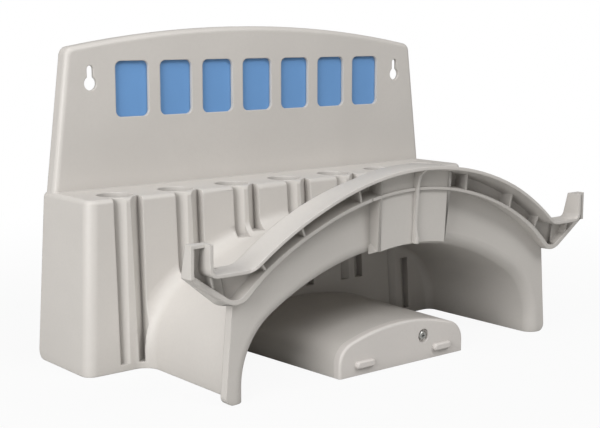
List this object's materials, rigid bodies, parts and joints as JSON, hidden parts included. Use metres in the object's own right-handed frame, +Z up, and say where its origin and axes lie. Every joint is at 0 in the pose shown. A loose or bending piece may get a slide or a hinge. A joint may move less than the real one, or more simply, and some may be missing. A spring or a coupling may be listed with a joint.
{
  "type": "hose hanger",
  "caption": "wall-mounted plastic hanger with an arched hose saddle, a front retaining collar with upturned hooks and a ledge with round holes for hand tools",
  "frame": {"origin": "bottom centre of the bounding box of the whole part", "axes": "X to the right seen from the front, Y back into the wall, Z up; the wall plane is the part's rearmost plane"},
  "size_m": [0.489, 0.249, 0.303],
  "materials": {
    "grey_plastic": "light warm grey moulded plastic with a fine satin texture",
    "blue_plastic": "mid blue moulded plastic",
    "cap_plastic": "light warm grey moulded plastic, same as the body",
    "screw_steel": "plated steel"
  },
  "bodies": {
    "root": {"hanger_body": "grey_plastic", "sign_inlay": "blue_plastic", "drum_cap": "cap_plastic", "cap_screw": "screw_steel"}
  },
  "joints": []
}
